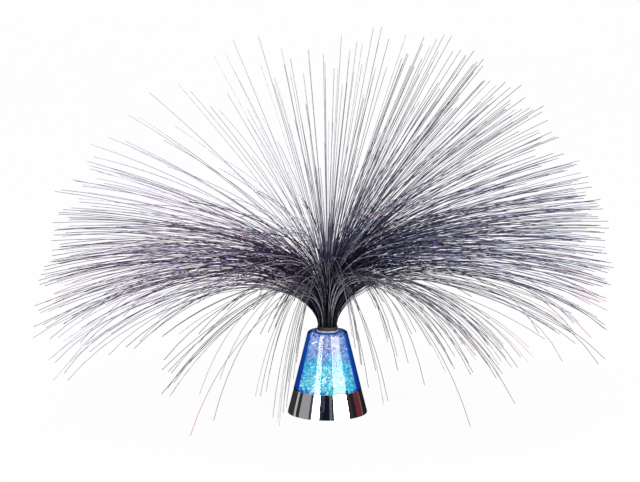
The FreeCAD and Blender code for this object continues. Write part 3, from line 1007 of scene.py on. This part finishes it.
def strandPlan():
    rnd = random.Random(spray["seed"])
    leans = {rim: leanTable(rim) for rim in (0, 1)}
    plan = []
    for k in range(spray["locks"]):
        side, forward = lockDirection(rnd, k)
        crowd = min(1.0, between(side, seenShare) / 40)
        for _ in range(1 + int(rnd.random() * (1 + (spray["lockMost"] - 1) * crowd))):
            plan.append(plannedStrand(rnd, side, forward, leans))
    locks = list(hangingLocks)
    for count, most, (first, last), leanRange, sagRange, length in evenLocks:
        for k in range(count):
            turn = first + (last - first) * (k + 0.5) / count
            lean, sag = rnd.uniform(*leanRange), rnd.uniform(*sagRange)
            strands = 1 + int(rnd.random() * most)
            locks.append((turn, lean, sag, hanging["evenNeck"], length, strands))
    for lock in locks:
        for _ in range(lock[-1]):
            plan.append(hangingStrand(rnd, *lock))
    outer = spray["outer"]
    plan.sort(key=lambda s: s["lean"] + outer["sag"] * s["sag"] + outer["rim"] * s["rim"])
    for i, strand in enumerate(plan):
        strand["root"] = spray["rootRadius"] * math.sqrt((i + 0.5) / len(plan))
        strand["random"] = rnd.random()
    print("strands:", len(plan))
    return plan


def strandLine(strand):
    r, z = strand["root"], spray["rootHeight"]
    cos, sin = math.cos(strand["turn"]), math.sin(strand["turn"])
    bend = [strand[key] for key in ("lean", "sag", "length", "neck", "knee")]
    points = [Vector((r * cos, r * sin, z))]
    travelled, bends, fine = 0.0, spray["bends"], spray["fine"]
    for i in range(1, bends + 1):
        step = ((i / bends) ** spray["bendRun"] * strand["length"] - travelled) / fine
        for _ in range(fine):
            travelled += step
            angle = strandAngle(travelled, *bend)
            r += step * math.sin(angle)
            z += step * math.cos(angle)
        points.append(Vector((r * cos, r * sin, z)))
    return points


def seenHeight(point):
    # height on the lamp's axis at which the camera sees the point
    return point.z + studio["fall"] * point.y


def isOverCone(point):
    # seen in front of the cone or its skirt
    level, off = seenHeight(point), spray["keepOff"]
    if point.y >= -off["front"] or not 0 < level < off["below"]:
        return False
    return abs(point.x) < coneRadius(level) + off["margin"]


def isWithin(point):
    reach = spray["reach"]
    across = -reach["left"] < point.x < reach["right"]
    return across and -reach["front"] < point.y < reach["back"] and point.z < reach["up"]


def trimmedLine(strand):
    # turned until it hangs beside the cone, and cut until it stays within the reach of its side
    while True:
        line = strandLine(strand)
        if any(isOverCone(point) for point in line):
            strand["turn"] += math.copysign(spray["turnStep"], line[-1].x)
        elif not all(isWithin(point) for point in line):
            strand["length"] *= spray["cutStep"]
        else:
            return line


# share of the strands, then how light they are in linear light
lightByShare = ((0, 0.0005), (0.3, 0.003), (0.55, 0.03), (0.8, 0.16), (1.0, 0.65))
# painted light and shade along a strand: usual, of the bundle's rim, and for those that arch over
# at the front. Darker near the root, where the strands shade each other; an arch is lit at its
# top and shaded where it hangs
usualPaintedRun = ((0, 0.3), (0.25, 0.6), (0.45, 1.2), (0.7, 1.2), (1, 0.8))
rimPaintedRun = ((0, 0.1), (0.3, 0.25), (0.5, 1.0), (1, 0.9))
archedPaintedRun = ((0, 0.3), (0.08, 1.4), (0.35, 1.1), (0.6, 0.3), (1, 0.2))
# painted light: a share of the front arches are made light, as if lit, and the others near black
archedShare = {"hanging": 0.25, "near": 0.6, "lit": 0.2, "light": (0.45, 0.95), "dark": 0.001}
hangingShare = {"dark": 0.5, "darkLight": 0.001, "light": (0.1, 0.5)}
# light that a strand gains towards its tip, and its hue: how much more of red and blue
tipLight = {"least": 0.06, "pale": 0.7, "run": 2.0, "arched": 0.02}
# violetGlow and blueGlow add colour even to the darkest strands: partly the guides' own tint,
# partly painted glow of the LED light along their sides
hueOf = {
    "red": 1.02,
    "violet": 0.22,
    "violetGlow": 0.034,
    "blue": 0.42,
    "blueGlow": 0.05,
    "frontShare": 0.3,
    "uprightBelow": 75,
}
# lit end faces: their colours, strength, share of the strands, and what that gains to the front;
# none is lit over the foot
tipGlow = {
    "colours": (
        (1.0, 0.03, 0.22), (1.0, 0.08, 0.5), (0.35, 0.08, 1.0), (0.12, 0.1, 1.0), (0.9, 0.3, 0.9),
    ),
    "strength": 6.0,
    "share": 0.03,
    "frontShare": 0.4,
    "footHalf": 0.06,
    "footHeight": 0.13,
}
# strands with a red end: their share, their share near the right edge, and where it starts
redEnd = {
    "colour": (0.9, 0.12, 0.2),
    "strength": 0.6,
    "share": 0.012,
    "edgeShare": 0.14,
    "edgeLean": 80,
    "edgeTurn": 0.6,
    "start": 0.88,
    "loneStart": 0.6,
}


def atFront(strand):
    return "hangs" not in strand and math.sin(strand["turn"]) < -0.7 and strand["lean"] > 60


def strandTones(rnd, strand, count):
    # bluish everywhere, more violet on the left; the run of tone along the strand is painted
    # light and shade
    hangs, turn = "hangs" in strand, strand["turn"]
    light = between(strand["random"] ** (1 - 0.6 * strand["pale"]), lightByShare)
    run = rimPaintedRun if strand["rim"] > 0.5 else usualPaintedRun
    if hangs:
        dark = strand["lone"] or rnd.random() < hangingShare["dark"]
        light = hangingShare["darkLight"] if dark else rnd.uniform(*hangingShare["light"])
    near = hangs and abs(turn + math.pi / 2) < archedShare["near"]
    arched = atFront(strand) or near and rnd.random() < archedShare["hanging"]
    if arched:
        run = archedPaintedRun
        lit = hangs or rnd.random() < archedShare["lit"]
        light = rnd.uniform(*archedShare["light"]) if lit else archedShare["dark"]
    violet = rnd.uniform(0.4, 1.0) * max(0.0, -math.cos(turn))
    upright = max(0.0, 1 - strand["lean"] / hueOf["uprightBelow"])
    tinted = hueOf["frontShare"] if atFront(strand) or hangs else 1.0
    tones = []
    for i in range(count):
        along = (i / (count - 1)) ** spray["bendRun"]
        tip = (tipLight["least"] + tipLight["pale"] * strand["pale"]) * along ** tipLight["run"]
        level = light * between(along, run) + (tipLight["arched"] * along if arched else tip)
        hue = tinted * (1 - upright * min(1.0, 1.3 * along)) * min(1.0, 0.3 + 3.5 * along)
        red = level * (hueOf["red"] + hueOf["violet"] * violet * hue)
        red += hueOf["violetGlow"] * violet * hue
        blue = level * (1 + hueOf["blue"] * hue) + hueOf["blueGlow"] * hue
        tones.append((red, level, blue))
    return tones


def strandMaterial():
    material, tree, shader = newMaterial("lightGuide")
    tone = addNode(tree, "ShaderNodeAttribute", attribute_name="tone")
    glow = addNode(tree, "ShaderNodeAttribute", attribute_name="glow")
    # painted highlights: noise darkens the tone in streaks along the strands, in place of glints
    grain = noiseNode(tree, 260.0, 2.0)
    level = ramp(tree, grain.outputs["Fac"], [(0.3, grey(0.45)), (0.7, grey(1.0))])
    kind = {"data_type": "RGBA", "blend_type": "MULTIPLY"}
    mix = addNode(tree, "ShaderNodeMix", {"Factor": 1.0}, **kind)
    tree.links.new(tone.outputs["Color"], mix.inputs["A"])
    tree.links.new(level, mix.inputs["B"])
    tree.links.new(mix.outputs["Result"], shader.inputs["Base Color"])
    tree.links.new(glow.outputs["Color"], shader.inputs["Emission Color"])
    shader.inputs["Emission Strength"].default_value = 1.0
    shader.inputs["Roughness"].default_value = 0.22
    shader.inputs["Specular IOR Level"].default_value = 0.04
    return material


def litTip(rnd, strand, end):
    colour = rnd.choice(tipGlow["colours"])
    facing = max(0.0, -math.sin(strand["turn"]))
    share = tipGlow["share"]
    if "hangs" not in strand:
        share += tipGlow["frontShare"] * facing ** 3
    beside = abs(end.x) >= tipGlow["footHalf"] or end.y >= 0
    clear = beside or seenHeight(end) >= tipGlow["footHeight"]
    strength = tipGlow["strength"] if rnd.random() < share and clear else 0.0
    return tuple(c * strength for c in colour)


def redAlong(rnd, strand, count):
    # glow at each bend of the strand
    lone = strand.get("lone")
    edge = strand["lean"] > redEnd["edgeLean"] and abs(strand["turn"]) < redEnd["edgeTurn"]
    chance = redEnd["edgeShare"] if edge else redEnd["share"]
    if not (lone or rnd.random() < chance and not atFront(strand)):
        return [(0.0, 0.0, 0.0)] * count
    start = redEnd["loneStart"] if lone else redEnd["start"]
    glow = []
    for i in range(count):
        along = max(0.0, (i / (count - 1) - start) / (1 - start))
        glow.append(tuple(c * redEnd["strength"] * along for c in redEnd["colour"]))
    return glow


def addStrand(rnd, strand, verts, faces, tones, glows):
    sides, radius = spray["sides"], spray["strandRadius"]
    line = trimmedLine(strand)
    across = Vector((-math.sin(strand["turn"]), math.cos(strand["turn"]), 0))
    run = strandTones(rnd, strand, len(line))
    tip = litTip(rnd, strand, line[-1])
    lit = redAlong(rnd, strand, len(line))
    base = len(verts)
    for i, point in enumerate(line):
        heading = (line[min(i + 1, len(line) - 1)] - line[max(i - 1, 0)]).normalized()
        up = heading.cross(across).normalized()
        for side in range(sides):
            angle = 2 * math.pi * side / sides
            verts.append(point + (across * math.cos(angle) + up * math.sin(angle)) * radius)
        tones += [run[i]] * sides
        glows += [lit[i]] * sides
    for i in range(len(line) - 1):
        for side in range(sides):
            a, b = base + i * sides + side, base + i * sides + (side + 1) % sides
            faces.append((a, b, b + sides, a + sides))
    faces.append(tuple(base + side for side in reversed(range(sides))))
    # the end face has its own corners, so that it can glow on its own
    end = len(verts)
    verts += verts[end - sides:]
    tones += [run[-1]] * sides
    glows += [tip] * sides
    faces.append(tuple(end + side for side in range(sides)))


def buildSpray():
    rnd = random.Random(spray["seed"] + 1)
    material = strandMaterial()
    plan = strandPlan()
    tiers = [[] for _ in spray["tiers"]]
    cuts = [(a + b) / 2 for a, b in zip(spray["tiers"], spray["tiers"][1:])]
    for strand in plan:
        tiers[sum(strand["lean"] > cut for cut in cuts)].append(strand)
    for index, strands in enumerate(tiers):
        verts, faces, tones, glows = [], [], [], []
        for strand in strands:
            addStrand(rnd, strand, verts, faces, tones, glows)
        name = "strandTier%02d" % (index + 1)
        piece = newPiece(name, verts, faces, material)
        paint(piece, "tone", "POINT", tones)
        paint(piece, "glow", "POINT", glows)
        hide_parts("strand_tier_%02d" % (index + 1))
        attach(piece, "spray")


buildSpray()
print("spray done")

# holder, door, cells and board
def dressInside():
    textured = moulded(
        "texturedBlack", (0.012, 0.012, 0.013), (0.03, 0.03, 0.032), (0.42, 0.6), 2600.0, 0.35
    )
    case = moulded("switchCase", grey(0.02), grey(0.05), (0.4, 0.55), 1500.0, 0.2)
    knob = moulded("switchKnob", grey(0.7), grey(0.8), (0.4, 0.5), 1500.0, 0.2)
    board = moulded("boardGreen", (0.02, 0.16, 0.07), (0.03, 0.24, 0.10), (0.3, 0.45), 420.0, 0.1)
    lamp = moulded("ledBody", (0.85, 0.85, 0.80), (0.92, 0.92, 0.88), (0.25, 0.35), 900.0, 0.05)
    chip = moulded("chipBlack", (0.03, 0.03, 0.032), (0.06, 0.06, 0.065), (0.5, 0.6), 2000.0, 0.2)
    potted = moulded(
        "pottedEnds", (0.015, 0.014, 0.016), (0.05, 0.048, 0.05), (0.2, 0.4), 2200.0, 0.3
    )
    wrap = metal("cellWrap", (0.35, 0.37, 0.40), (0.3, 0.42), 300.0, (0.2, 1, 1))
    nickel = metal("nickelContact", (0.75, 0.74, 0.70), (0.22, 0.38), 900.0)
    tinned = metal("tinnedLead", (0.80, 0.62, 0.35), (0.25, 0.4), 900.0)
    inside = {
        "battery_holder": textured,
        "battery_door": textured,
        "battery_cells": wrap,
        "flat_contacts": nickel,
        "leaf_contacts": nickel,
        "switch_body": case,
        "switch_knob": knob,
        "switch_leads": tinned,
        "led_board": board,
        "centre_led": lamp,
        "glow_leds": lamp,
        "board_parts": chip,
        "bundle_core": potted,
    }
    for name, material in inside.items():
        dress(name, material)


dressInside()
print("inside dressed")
